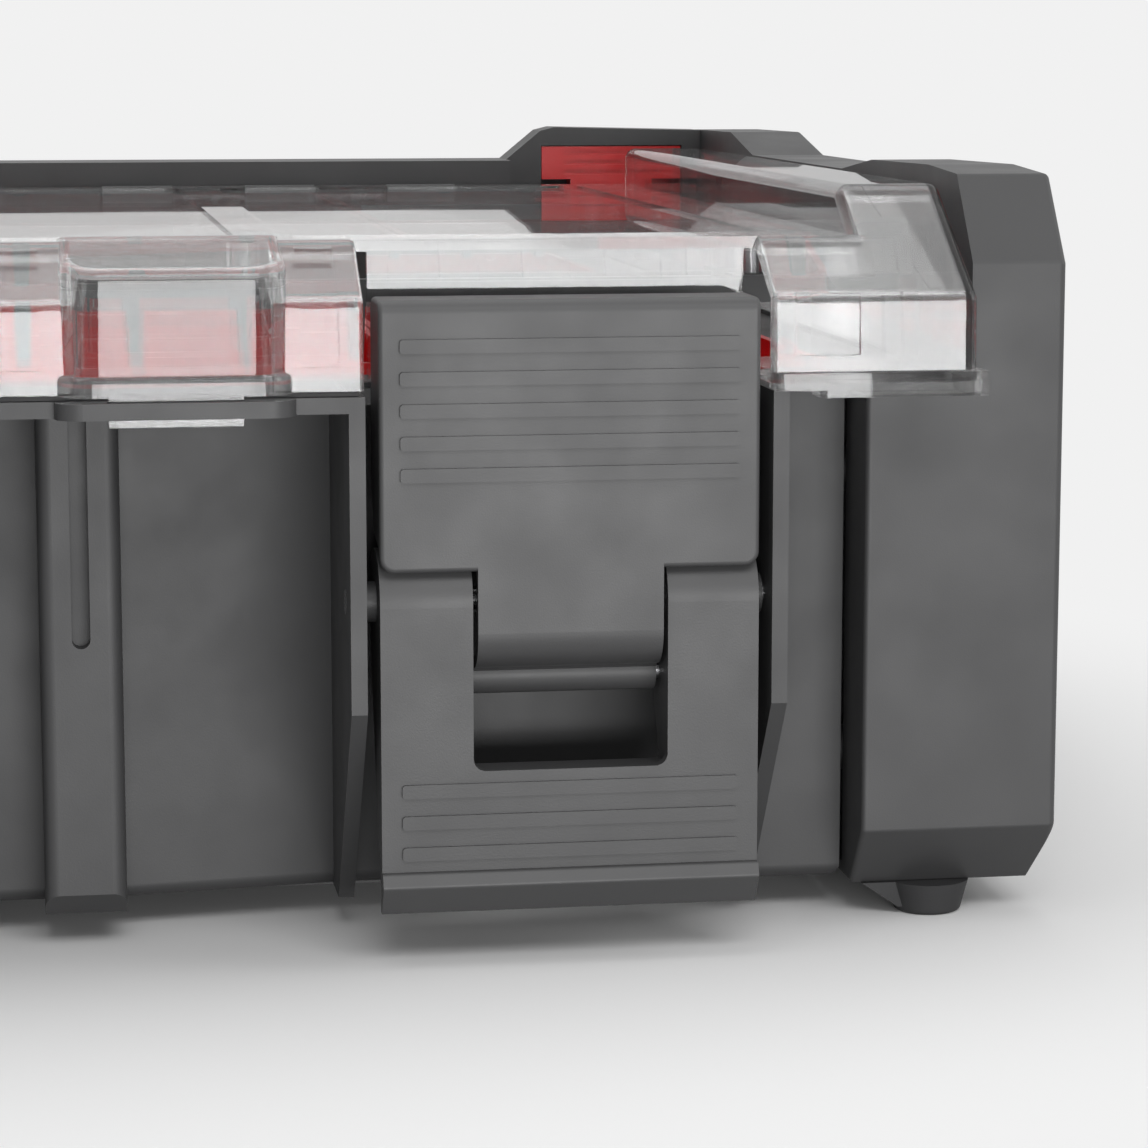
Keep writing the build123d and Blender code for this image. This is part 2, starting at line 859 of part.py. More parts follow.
def beside_recess(edge, span):
    """True for the front edges of a latch recess, on either side of the middle."""
    x = abs((edge @ 0.5).X)
    upright = abs(abs((edge @ 0).X) - abs((edge @ 1).X)) < 0.01
    in_front = (edge @ 0.5).Y < from_front(recess_setback) - 0.3
    above = max((edge @ 0).Z, (edge @ 1).Z) > lid_low(0) + 1
    return upright and in_front and above and min(abs(x - span[0]), abs(x - span[1])) < 0.01


def lid_panels(outer):
    """Shallow framed fields on the front and sloping faces between the bosses and posts."""
    skin = outer - lid_form(panel_depth)
    z = (rim_top + 6.0, lid_top - 1.6)
    spans = [(-boss_x[0] + 4.0, boss_x[0] - 4.0), (boss_x[1] + 2.6, recess_span(0)[0] - 5.0)]
    fields = Part()
    for index, (x0, x1) in enumerate(spans):
        field = block((x0, x1), (-2.0, recess_setback), z)
        fields += field if index == 0 else both(field)
    corner_x = (recess_span(0)[1] + 5.0, ridge_inner - 2.0)
    fields += both(block(corner_x, (-2.0, recess_setback), (rim_top + 7.0, lid_crease_z)))
    return (fields & skin) + lid_top_fields()


def lid_top_fields():
    """Three shallow fields in the top of the lid, with bands left between them."""
    end = ridge_inner - top_band
    third = 2 * end / 3
    fields = Part()
    for index in range(3):
        x = (-end + index * third + top_band / 2, -end + (index + 1) * third - top_band / 2)
        field = block(x, (top_field_y[0], top_field_y[1]), (lid_top - panel_depth, lid_top + 1))
        fields += rounded(field, Axis.Z, top_field_radius)
    return fields


def corner_flange():
    """Lipped floor of the lid in front of the corner wall of the tub."""
    x0, x1 = recess_span(0)[1] + fit_gap, lid_half + flange_proud
    z0, z1 = flange_z
    low = rim_top + seal_thick + seat_gap
    step = rim_top + seat_gap
    lip = block((x0, x1), (-flange_reach, lid_front + 4.0), (step, z1))
    lip += block((x0 + flange_step, x1), (-flange_reach, lid_front + 4.0), (z0, step))
    lip = fillet(lip.edges().filter_by(Axis.Z).sort_by(Axis.Y)[:2], 2.0)
    floor = block((x0, lid_half), (0.0, corner_wall_setback + 2.0), (low, low + lid_wall))
    return lip + floor


def boss_flange():
    """Rounded lip round the foot of a boss, and the tab through the rim slot."""
    x0, x1 = boss_x
    low = rim_top + seat_gap
    lip = block((x0 - 0.8, x1 + 0.8), (boss_front - 1.2, lid_front + 2), (low + seal_thick, low + 5.0))
    lip = fillet(lip.edges().filter_by(Axis.Z).sort_by(Axis.Y)[:2], boss_radius - 1.0)
    lip = fillet(lip.faces().sort_by(Axis.Z)[-1].edges().sort_by(Axis.Y)[:3], 1.2)
    cut = lid_boss(lid_wall)
    tab = block(tab_x, tab_y, (tab_bottom, low + 3.0))
    return (lip - cut) + tab


def catch_ledge():
    """Ledge in a latch recess that the hook pulls down on."""
    low = rim_top + seal_thick + seat_gap
    x = (latch_centre - ledge_half, latch_centre + ledge_half)
    plate = block(x, (ledge_front, recess_setback + 1), (ledge_top - ledge_wall, ledge_top))
    front = block(x, (ledge_front, ledge_front + ledge_wall), (low, ledge_top))
    ledge = plate + front
    for offset in (0.0, 2 * ledge_half / 3, 4 * ledge_half / 3, 2 * ledge_half - 2.0):
        start = x[0] + offset
        ledge += block((start, start + 2.0), (ledge_front, recess_setback + 1), (low, ledge_top))
    return ledge


def comb_rows():
    """Front setbacks of the two hold-down combs."""
    return (comb_start, comb_rear)


def comb_post_places():
    """Places of the lid's posts, beside the combs on the side of the bins."""
    reach = comb_half - comb_post_inward
    offset = comb_thick + comb_ear
    rows = (comb_start + offset, comb_rear - comb_ear)
    return [(x, y) for x in (-reach, -comb_post_inner, comb_post_inner, reach) for y in rows]


def lid_shell():
    outer = lid_form(0.0)
    lid = outer - lid_form(lid_wall)
    lid -= lid_panels(outer)
    lid += both(catch_ledge() + corner_flange() + boss_flange())
    lid += hinge_knuckles(base_side=False)
    lid -= both(base_knuckle_room())
    for x, y in comb_post_places():
        lid += rod_z(x, y, comb_z[1], lid_top - lid_wall + 0.5, comb_post_radius)
        lid -= rod_z(x, y, comb_z[1] - 1, lid_top - lid_wall - 1.0, screw_radius + hinge_gap)
    return lid


def base_knuckle_room():
    """Room in the lid's rear edge for the knuckles of the base rail."""
    room = Part()
    y, z = hinge_axis
    for index, (x0, x1) in enumerate(knuckle_spans()):
        if index % 2 == 0:
            room += rod_x(x0 - fit_gap, x1 + fit_gap, y, z, knuckle_radius + knuckle_room)
    return room


def seal_ring():
    """Outline strip of the gasket on the rim, open at the rear under the hinge rail."""
    bay = (latch_centre - latch_width / 2 - rib_gap - 1.0, latch_centre + latch_width / 2 + rib_gap + 1.0)
    def outline(inset):
        right = [
            (bay[0] - inset, lid_front + inset),
            (bay[0] - inset, recess_setback + inset),
            (bay[1] - inset, recess_setback + inset),
            (bay[1] - inset, corner_wall_setback - 2.0 + inset),
            (lid_half - inset, corner_wall_setback - 2.0 + inset),
            (lid_half - inset, lid_rear + (1.0 if inset else 0.0)),
        ]
        return right + [(-x, y) for x, y in reversed(right)]
    z0 = rim_top + seat_gap
    ring = slab_z(outline(0.0), z0, z0 + seal_thick)
    return ring - slab_z(outline(seal_width), z0 - 1, z0 + seal_thick + 1)


def comb_tooth(x, y):
    top = tooth_top_width / 2
    tip = tooth_tip_width / 2
    points = [(x - top, comb_z[0] + 1), (x - tip, bin_top + fit_gap), (x + tip, bin_top + fit_gap),
              (x + top, comb_z[0] + 1)]
    return slab_y(points, y[0], y[1])


def hold_down_comb(row):
    """Dark bar under the lid whose teeth rest just above the bin rims."""
    y = (row, row + comb_thick)
    bar = block((-comb_half, comb_half), y, comb_z)
    teeth = int((comb_half - comb_first) / comb_pitch) + 1
    for index in range(teeth):
        bar += both(comb_tooth(comb_first + index * comb_pitch, y))
    for x, post_y in comb_post_places():
        if abs(post_y - row) > comb_thick + 2 * comb_ear:
            continue
        reach = (min(row, post_y - comb_ear), max(y[1], post_y + comb_ear))
        bar += block((x - comb_ear, x + comb_ear), reach, (comb_z[1] - comb_ear_height, comb_z[1]))
        bar -= rod_z(x, post_y, comb_z[0], comb_z[1] + 1, screw_radius + hinge_gap)
    return bar


# Latches, built about X = 0 and then moved to their places
def ring_sector(radius, wall, x0, x1):
    """Upper half tube round the lever axis."""
    tube = rod_x(x0, x1, *lever_axis, radius) - rod_x(x0 - 1, x1 + 1, *lever_axis, radius - wall)
    upper = block((x0 - 1, x1 + 1), (lever_axis[0] - 20, lever_axis[0] + 20), (lever_axis[1], lever_axis[1] + 30))
    return tube & upper


def inner_cheek(x0):
    """Side wall of the lever window that carries both pins."""
    rear = lever_axis[0] + lever_roll
    points = [
        (lever_front, lever_axis[1]),
        (rear, lever_axis[1]),
        (hook_axis[0] + 5.5, hook_axis[1] - 4.5),
        (lever_front + 8.0, window_bottom - 3.0),
        (lever_front, window_bottom - 3.0),
    ]
    wall = slab_x(points, x0, x0 + cheek) + rod_x(x0, x0 + cheek, *lever_axis, lever_roll)
    return wall


def outer_cheek(x0):
    rear = lever_axis[0] + lever_roll
    points = [
        (lever_front, lever_axis[1]),
        (rear, lever_axis[1]),
        (rear - 3.0, lever_axis[1] - 14.0),
        (lever_front + 7.0, lever_crease + 4.0),
        (lever_front, lever_crease),
    ]
    return slab_x(points, x0, x0 + cheek) + rod_x(x0, x0 + cheek, *lever_axis, lever_roll)


def grip_bars(top, count, front):
    """Raised bars across the front of a lever or hook."""
    bars = Part()
    for index in range(count):
        z1 = top - index * bar_pitch
        bar = block((-bar_half, bar_half), (front - bar_proud, front + 0.5), (z1 - bar_height, z1))
        bar = fillet(bar.edges().filter_by(Axis.Y), 0.7)
        bars += bar
    return bars


def lip_outline():
    """Side outline of the finger lip, whose front face leans back towards its foot."""
    back = lever_front + lever_skin + hook_gap
    return [
        (back, lever_bottom),
        (lever_front + lip_proud / 2, lever_bottom),
        (lever_front - lip_proud, lever_crease - lip_bevel),
        (lever_front - lip_proud / 2, lever_crease),
        (back, lever_crease),
    ]


def latch_lever():
    half = latch_width / 2
    arm = (window_half, half)
    plate = block((-half, half), (lever_front, lever_front + lever_skin), (lever_crease - 1, lever_axis[1]))
    opening = block((-window_half, window_half), (lever_front - 1, lever_front + 9), (window_bottom, 100.0))
    plate -= rounded(opening, Axis.Y, 2.5)
    arms = ring_sector(lever_roll, lever_skin, *arm)
    arms += inner_cheek(window_half) + outer_cheek(half - cheek)
    arms += rod_x(window_half, half, *lever_axis, lever_pin_radius + 2.2)
    arms += rod_x(half, half + rib_gap - fit_gap - 0.2, *lever_axis, 4.2)
    lever = plate + both(arms)
    shelf = (lever_front, lever_front + 8.0)
    lever += block((-window_half, window_half), shelf, (window_bottom - cheek, window_bottom))
    lever += rounded(slab_x(lip_outline(), -half, half), Axis.X, lip_edge)
    lever += grip_bars(lever_bar_top, lever_bar_count, lever_front)
    lever -= rod_x(-half - 5, half + 5, *lever_axis, lever_pin_radius + hinge_gap)
    lever -= rod_x(-window_half - cheek - 1, window_half + cheek + 1, *hook_axis, hook_pin_radius)
    return lever


def tongue():
    """Tongue of the hook that bends back to its barrel."""
    radius = 8.2
    z = tongue_bend_z
    bend = (radius, z)
    outer = rod_x(-tongue_half, tongue_half, *bend, radius)
    inner = rod_x(-tongue_half - 1, tongue_half + 1, *bend, radius - hook_skin)
    quarter = block((-tongue_half, tongue_half), (0.0, radius), (z - radius, z))
    curl = (outer - inner) & quarter
    y, zb = hook_axis
    web = slab_x([(radius - 0.6, z - radius), (y, zb - 1.2), (y, zb + 2.6), (radius - 0.6, z - radius + hook_skin)],
                 -tongue_half, tongue_half)
    straight = block((-tongue_half, tongue_half), (0.0, hook_skin), (z, hook_bottom + 4))
    return curl + web + straight + rod_x(-tongue_half, tongue_half, y, zb, hook_barrel)


def hook_cheek(x0):
    points = [(hook_skin - 0.5, hook_top - 1), (15.5, hook_top - 1.6), (16.0, 97.0), (12.0, 88.5),
              (hook_skin - 0.5, 86.5)]
    return slab_x(points, x0, x0 + cheek)


def latch_hook():
    half = latch_width / 2
    plate = block((-half, half), (0.0, hook_skin), (hook_bottom, hook_top))
    low = plate.edges().filter_by(Axis.Y).group_by(Axis.Z)[0]
    plate = fillet(low, hook_corner)
    flange = block((-half, half), (0.0, hook_reach), (ledge_top + hook_gap, hook_top))
    body = plate + flange + hook_cheek(-half) + hook_cheek(half - cheek)
    front_top = body.edges().filter_by(Axis.X).group_by(Axis.Z)[-1].sort_by(Axis.Y)[0]
    body = fillet(front_top, hook_top_radius)
    rim = body.edges().filter_by(lambda e: max(abs((e @ 0).Y - from_front(0)), abs((e @ 1).Y - from_front(0))) < 0.01)
    rim = rim.filter_by(lambda e: (e @ 0.5).Z < hook_top - hook_top_radius - 0.1)
    body = fillet(rim, hook_edge) + tongue()
    body += grip_bars(hook_bar_top, hook_bar_count, 0.0)
    return body - rod_x(-half, half, *hook_axis, hook_pin_radius + hinge_gap)


def lever_pin():
    """Pin between the ribs that the lever turns on."""
    reach = latch_width / 2 + rib_gap + rib_thick
    return rod_x(-reach, reach, *lever_axis, lever_pin_radius)


def hook_pin():
    """Pin of the lever that the hook hangs on."""
    reach = window_half + cheek
    return rod_x(-reach, reach, *hook_axis, hook_pin_radius)


# Bins and dividers
def bin_cells():
    """Name, plan box and whether it has a divider, for every bin."""
    y0, y2 = bin_start, bin_end
    y1 = y0 + bin_first_row
    y15 = (y1 + y2) / 2
    x = [(index - 2) * bin_pitch for index in range(5)]
    cells = [(f"bin_front_{index + 1}", (x[index], x[index + 1]), (y0, y1), False) for index in range(4)]
    cells.append(("bin_large_left", (x[0], x[1]), (y1, y2), True))
    cells.append(("bin_large_right", (x[3], x[4]), (y1, y2), True))
    cells.append(("bin_wide", (x[1], x[3]), (y1, y15), True))
    cells.append(("bin_rear_left", (x[1], x[2]), (y15, y2), False))
    cells.append(("bin_rear_right", (x[2], x[3]), (y15, y2), False))
    return cells


def shrunk(span, by):
    return (span[0] + by, span[1] - by)


def bin_tray(x, y, divided):
    """Open bin with rounded corners and slots for its divider."""
    low = foot_height + base_floor + seat_gap
    body = block(shrunk(x, bin_gap / 2), shrunk(y, bin_gap / 2), (low, bin_top))
    body = rounded(body, Axis.Z, bin_radius)
    body = fillet(body.faces().sort_by(Axis.Z)[0].edges(), 2.0)
    inside = bin_gap / 2 + bin_wall
    hollow = block(shrunk(x, inside), shrunk(y, inside), (low + bin_wall, bin_top + 5))
    hollow = rounded(hollow, Axis.Z, bin_radius - bin_wall)
    hollow = fillet(hollow.faces().sort_by(Axis.Z)[0].edges(), 3.0)
    tray = body - hollow
    if divided:
        tray += divider_guides(x, y) & body
    return tray


def divider_guides(x, y):
    """Pairs of thin rails that hold a divider across the longer side."""
    low = foot_height + base_floor + bin_wall
    wide = x[1] - x[0] > y[1] - y[0]
    span, cross = (x, y) if wide else (y, x)
    middle = (span[0] + span[1]) / 2
    inside = bin_gap / 2 + bin_wall
    guides = Part()
    for side in (-1, 1):
        near = middle + side * (divider_thick / 2 + fit_gap)
        along = sorted((near, near + side * 1.6))
        for end in (0, 1):
            edge = cross[end] + (inside if end == 0 else -inside)
            across = sorted((edge + (-0.3 if end == 0 else 0.3), edge + (3.0 if end == 0 else -3.0)))
            box = (along, across) if wide else (across, along)
            guides += block(box[0], box[1], (low, bin_top - 4.0))
    return guides


def bin_divider(x, y):
    """Plate that splits a long bin in two."""
    low = foot_height + base_floor + seat_gap + bin_wall + 0.1
    wide = x[1] - x[0] > y[1] - y[0]
    span, cross = (x, y) if wide else (y, x)
    middle = (span[0] + span[1]) / 2
    along = (middle - divider_thick / 2, middle + divider_thick / 2)
    across = shrunk(cross, bin_gap / 2 + bin_wall + fit_gap)
    box = (along, across) if wide else (across, along)
    plate = block(box[0], box[1], (low, bin_top - 5.0))
    return fillet(plate.edges().filter_by(Axis.X if wide else Axis.Y).group_by(Axis.Z)[0], 3.4)


# Screws
def screw(length):
    """Pan-head screw along +Z with its head at the origin, drive recess included."""
    head = Cylinder(screw_head_radius, screw_head_height, align=(Align.CENTER, Align.CENTER, Align.MAX))
    head = fillet(head.edges().sort_by(Axis.Z)[0], head_round)
    shank = Cylinder(screw_radius, length, align=(Align.CENTER, Align.CENTER, Align.MIN))
    length_across, width_across, depth = drive_slot
    cross = Box(length_across, width_across, depth) + Box(width_across, length_across, depth)
    return head + shank - Pos(0, 0, -screw_head_height) * cross


def wing_screws():
    """Screws through both wings into the tub, heads in their counterbores."""
    length = half_width - screw_sink - tub_half + base_wall
    screws = Part()
    for y, z in wing_screw_places():
        one = Pos(half_width - screw_sink, from_front(y), z) * Rot(0, -90, 0) * screw(length)
        screws += both(one)
    return screws


def rail_screws():
    length = rear_offset - screw_sink - tub_depth_end + base_wall
    screws = Part()
    for x in rail_screw_places():
        screws += Pos(x, from_front(rear_offset - screw_sink), rail_screw_z) * Rot(90, 0, 0) * screw(length)
    return screws


def comb_screws():
    """Screws up through the comb frame into the posts of the lid."""
    screws = Part()
    for x, y in comb_post_places():
        screws += Pos(x, from_front(y), comb_z[1] - comb_ear_height) * screw(comb_screw_length)
    return screws


def at_latch(side, shape):
    return Pos(side * latch_centre, 0, 0) * shape


def build_parts():
    parts = {"base_tub": base_tub(), "rear_rail": rear_rail()}
    wing = side_wing()
    parts["side_wing_right"] = wing
    parts["side_wing_left"] = mirrored(wing)
    for end, y in zip(("front", "rear"), foot_rows()):
        parts[f"foot_{end}_right"] = foot(1, y)
        parts[f"foot_{end}_left"] = foot(-1, y)
    for name, x, y, divided in bin_cells():
        parts[name] = bin_tray(x, y, divided)
        if divided:
            parts[name.replace("bin_", "divider_")] = bin_divider(x, y)
    parts["lid_shell"] = lid_shell()
    parts["lid_seal"] = seal_ring()
    for end, row in zip(("front", "rear"), comb_rows()):
        parts[f"hold_down_comb_{end}"] = hold_down_comb(row)
    parts["comb_screws"] = comb_screws()
    parts["wing_screws"] = wing_screws()
    parts["rail_screws"] = rail_screws()
    lever, hook = latch_lever(), latch_hook()
    for side, name in ((-1, "left"), (1, "right")):
        parts[f"latch_lever_{name}"] = at_latch(side, lever)
        parts[f"latch_hook_{name}"] = at_latch(side, hook)
        parts[f"lever_pin_{name}"] = at_latch(side, lever_pin())
        parts[f"hook_pin_{name}"] = at_latch(side, hook_pin())
    for name, place in (("right", lambda s: s), ("left", mirrored)):
        parts[f"hinge_pin_{name}"] = place(hinge_pin())
        parts[f"stack_lock_{name}"] = place(stack_lock())
        parts[f"lock_spring_{name}"] = place(lock_spring())
    return parts


os.makedirs("parts", exist_ok=True)
for node, shape in build_parts().items():
    export_step(shape, f"parts/{node}.step")
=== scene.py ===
import json
import math

import bpy
from mathutils import Matrix, Vector

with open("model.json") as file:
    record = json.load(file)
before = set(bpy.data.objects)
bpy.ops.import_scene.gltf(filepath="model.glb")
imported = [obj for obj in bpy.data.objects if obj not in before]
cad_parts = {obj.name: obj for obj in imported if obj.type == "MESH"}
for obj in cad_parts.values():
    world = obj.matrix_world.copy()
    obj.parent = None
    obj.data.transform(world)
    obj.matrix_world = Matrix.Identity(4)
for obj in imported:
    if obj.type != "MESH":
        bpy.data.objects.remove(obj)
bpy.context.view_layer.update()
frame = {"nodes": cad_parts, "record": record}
nodes = frame["nodes"]


# Colours, linear
BACKDROP = (0.88, 0.88, 0.88, 1.0)
FLOOR = (0.84, 0.84, 0.84, 1.0)
FLOOR_INDIRECT = (0.30, 0.30, 0.30, 1.0)
WHITE = (1.0, 1.0, 1.0, 1.0)
DARK = (0.041, 0.041, 0.042)
WING = (0.041, 0.041, 0.042)
LATCH = (0.049, 0.049, 0.050)
COMB = (0.035, 0.035, 0.036)
RED = (0.540, 0.003, 0.004)
CLEAR = (0.985, 0.990, 0.992)
FROSTED = (0.80, 0.81, 0.82)
RUBBER = (0.020, 0.020, 0.021)
STEEL = (0.300, 0.300, 0.310)

# Refraction of opaque and of clear plastic
PLASTIC_IOR = 1.49
CLEAR_IOR = 1.5

# Height of each surface's bumps, in metres
GRAIN_DEPTH = 0.00006
FLOW_DEPTH = 0.0006
RED_GRAIN_DEPTH = 0.00003
RED_FLOW_DEPTH = 0.0008
LID_WAVE_DEPTH = 0.0008
FROST_DEPTH = 0.00004
RUBBER_DEPTH = 0.00008
STEEL_LINE_DEPTH = 0.00003
ALONG_X = (0.04, 1.0, 1.0)

# Part of a noise's 0 to 1 range that is spread over a wanted range
NOISE_LOW, NOISE_HIGH = 0.3, 0.7

# Floor, in metres, and the distances between which it fades into the backdrop
FLOOR_RADIUS = 3.0
FLOOR_SIDES = 96
FADE_START, FADE_END = 0.25, 0.44
WORLD_STRENGTH = 0.34

# Lamps: name, place, target, width and height, watts
LAMPS = (
    ("front_card", (0.26, -1.20, 0.10), (0.10, -0.16, 0.12), (0.80, 0.13), 5.9),
    ("low_card", (0.12, -0.80, 0.04), (0.06, -0.16, 0.10), (0.42, 0.06), 0.95),
    ("front_box", (0.30, -1.30, 1.25), (0.08, 0.0, 0.10), (1.2, 0.7), 10.0),
    ("top_box", (-0.1, 0.2, 1.6), (0.0, 0.0, 0.1), (1.5, 1.5), 11.0),
    ("side_box", (1.6, -0.3, 0.8), (0.1, 0.0, 0.1), (0.8, 1.1), 6.0),
)

# Camera fitted to the photograph's edges and vanishing directions
CAMERA_PLACE = (0.006574, -0.857609, 0.187225)
CAMERA_TURN = math.radians(9.0)
CAMERA_DROP = math.radians(8.6)
CAMERA_LENS = 109.756
CAMERA_SENSOR = 36.0
CAMERA_CLIP_START = 0.02


# Node helpers
class Shader:
    """One material with a Principled shader and short ways to add nodes."""

    def __init__(self, name, color, roughness, metallic=0.0):
        self.material = bpy.data.materials.new(name)
        self.material.use_nodes = True
        self.tree = self.material.node_tree
        self.main = self.tree.nodes["Principled BSDF"]
        self.color = color
        self.roughness = roughness
        self.set("Base Color", (*color, 1.0))
        self.set("Roughness", roughness)
        self.set("Metallic", metallic)
        self.place = self.add("ShaderNodeTexCoord").outputs["Object"]

    def set(self, socket, value):
        """Sets a constant on the Principled shader."""
        self.main.inputs[socket].default_value = value

    def add(self, kind, **settings):
        node = self.tree.nodes.new(kind)
        for key, value in settings.items():
            setattr(node, key, value)
        return node

    def link(self, a, b):
        self.tree.links.new(a, b)

    def noise(self, scale, detail=2.0, rough=0.5, stretch=None):
        node = self.add("ShaderNodeTexNoise")
        node.inputs["Scale"].default_value = scale
        node.inputs["Detail"].default_value = detail
        node.inputs["Roughness"].default_value = rough
        source = self.place
        if stretch:
            mapping = self.add("ShaderNodeMapping")
            mapping.inputs["Scale"].default_value = stretch
            self.link(self.place, mapping.inputs["Vector"])
            source = mapping.outputs["Vector"]
        self.link(source, node.inputs["Vector"])
        return node.outputs["Fac"]

    def spread(self, value, low, high):
        """Maps the middle of a noise to a range."""
        node = self.add("ShaderNodeMapRange")
        node.inputs["From Min"].default_value = NOISE_LOW
        node.inputs["From Max"].default_value = NOISE_HIGH
        node.inputs["To Min"].default_value = low
        node.inputs["To Max"].default_value = high
        self.link(value, node.inputs["Value"])
        return node.outputs["Result"]

    def tone(self, scale, low, high):
        """Slow light and dark variation of the base colour."""
        mix = self.add("ShaderNodeMix", data_type="RGBA", blend_type="MULTIPLY")
        mix.inputs["Factor"].default_value = 1.0
        mix.inputs[6].default_value = (*self.color, 1.0)
        amount = self.spread(self.noise(scale, detail=3.0), low, high)
        join = self.add("ShaderNodeCombineColor")
        for channel in ("Red", "Green", "Blue"):
            self.link(amount, join.inputs[channel])
        self.link(join.outputs["Color"], mix.inputs[7])
        self.link(mix.outputs[2], self.main.inputs["Base Color"])

    def gloss(self, scale, by):
        """Uneven roughness."""
        low, high = self.roughness - by, self.roughness + by
        value = self.spread(self.noise(scale, detail=4.0), low, high)
        self.link(value, self.main.inputs["Roughness"])

    def bump(self, *layers):
        """Stacked bumps, each (height output, distance in metres, strength)."""
        normal = None
        for height, distance, strength in layers:
            node = self.add("ShaderNodeBump")
            node.inputs["Distance"].default_value = distance
            node.inputs["Strength"].default_value = strength
            self.link(height, node.inputs["Height"])
            if normal is not None:
                self.link(normal, node.inputs["Normal"])
            normal = node.outputs["Normal"]
        self.link(normal, self.main.inputs["Normal"])


def moulded(name, color, roughness, grain=0.35):
    """Moulded plastic with a fine spark-eroded grain and faint flow unevenness."""
    s = Shader(name, color, roughness)
    s.set("IOR", PLASTIC_IOR)
    s.set("Specular IOR Level", 0.45)
    s.tone(scale=22.0, low=0.93, high=1.07)
    s.gloss(scale=55.0, by=0.05)
    s.bump((s.noise(scale=2600.0, detail=2.0, rough=0.6), GRAIN_DEPTH, grain),
           (s.noise(scale=28.0, detail=1.0), FLOW_DEPTH, 0.10))
    return s.material


def glossy_red(name):
    """Glossy red plastic of the bins and stack locks."""
    s = Shader(name, RED, 0.33)
    s.set("IOR", PLASTIC_IOR)
    s.set("Coat Weight", 0.12)
    s.set("Coat Roughness", 0.2)
    s.tone(scale=18.0, low=0.92, high=1.06)
    s.gloss(scale=60.0, by=0.05)
    s.bump((s.noise(scale=1900.0, detail=2.0), RED_GRAIN_DEPTH, 0.25),
           (s.noise(scale=24.0, detail=1.0), RED_FLOW_DEPTH, 0.10))
    return s.material


def clear_lid(name):
    """Clear moulded lid: polished, with a faint haze and slight moulding waves."""
    s = Shader(name, CLEAR, 0.02)
    s.set("Transmission Weight", 1.0)
    s.set("IOR", CLEAR_IOR)
    s.set("Alpha", 0.66)
    s.gloss(scale=40.0, by=0.01)
    s.bump((s.noise(scale=14.0, detail=1.5), LID_WAVE_DEPTH, 0.08))
    return s.material


def frosted(name):
    """Translucent plastic of the dividers."""
    s = Shader(name, FROSTED, 0.35)
    s.set("Transmission Weight", 0.7)
    s.set("IOR", CLEAR_IOR)
    s.gloss(scale=50.0, by=0.06)
    s.bump((s.noise(scale=1500.0, detail=2.0), FROST_DEPTH, 0.3))
    return s.material


def soft_rubber(name):
    """Matt dark rubber of the feet and the lid's gasket."""
    s = Shader(name, RUBBER, 0.72)
    s.tone(scale=40.0, low=0.85, high=1.15)
    s.gloss(scale=80.0, by=0.06)
    s.bump((s.noise(scale=1300.0, detail=3.0), RUBBER_DEPTH, 0.4))
    return s.material


def steel(name, roughness):
    """Drawn or turned steel with fine lines along X."""
    s = Shader(name, STEEL, roughness, metallic=1.0)
    s.tone(scale=90.0, low=0.88, high=1.08)
    s.gloss(scale=300.0, by=0.08)
    s.bump((s.noise(scale=900.0, detail=3.0, rough=0.6, stretch=ALONG_X), STEEL_LINE_DEPTH, 0.3))
    return s.material


SLOTS = {
    "base_grey": moulded("base_grey", DARK, roughness=0.52),
    "wing_grey": moulded("wing_grey", WING, roughness=0.52),
    "rail_grey": moulded("rail_grey", DARK, roughness=0.50),
    "foot_grey": soft_rubber("foot_grey"),
    "latch_grey": moulded("latch_grey", LATCH, roughness=0.48, grain=0.45),
    "comb_grey": moulded("comb_grey", COMB, roughness=0.5, grain=0.2),
    "bin_red": glossy_red("bin_red"),
    "lock_red": glossy_red("lock_red"),
    "lid_clear": clear_lid("lid_clear"),
    "divider_clear": frosted("divider_clear"),
    "seal_rubber": soft_rubber("seal_rubber"),
    "pin_steel": steel("pin_steel", roughness=0.26),
    "screw_steel": steel("screw_steel", roughness=0.34),
}


def dress_nodes():
    """Gives each CAD node the procedural material of its record slot."""
    for sub in frame["record"]["subparts"]:
        node = nodes[sub["node"]]
        node.data.materials.clear()
        node.data.materials.append(SLOTS[sub["material_slot"]])


# Floor, backdrop and light
def add_math(tree, operation, first, second):
    """Adds a math node for two outputs and returns its result."""
    node = tree.nodes.new("ShaderNodeMath")
    node.operation = operation
    tree.links.new(first, node.inputs[0])
    tree.links.new(second, node.inputs[1])
    return node.outputs[0]


def add_mix(tree, amount, first, second):
    """Adds a mix of two shader outputs and returns its result."""
    node = tree.nodes.new("ShaderNodeMixShader")
    tree.links.new(amount, node.inputs["Fac"])
    tree.links.new(first, node.inputs[1])
    tree.links.new(second, node.inputs[2])
    return node.outputs[0]


def seen_directly(tree):
    """1 for rays that see the backdrop itself, in a lens, a reflection or through the lid."""
    path = tree.nodes.new("ShaderNodeLightPath")
    total = path.outputs["Is Camera Ray"]
    for name in ("Is Glossy Ray", "Is Transmission Ray"):
        total = add_math(tree, "MAXIMUM", total, path.outputs[name])
    return total


def build_world():
    """White light from all round, behind a plain backdrop."""
    world = bpy.data.worlds.new("studio")
    bpy.context.scene.world = world
    world.use_nodes = True
    tree = world.node_tree
    light = tree.nodes["Background"]
    light.inputs["Color"].default_value = WHITE
    light.inputs["Strength"].default_value = WORLD_STRENGTH
    plain = tree.nodes.new("ShaderNodeBackground")
    plain.inputs["Color"].default_value = BACKDROP
    result = add_mix(tree, seen_directly(tree), light.outputs[0], plain.outputs[0])
    tree.links.new(result, tree.nodes["World Output"].inputs["Surface"])


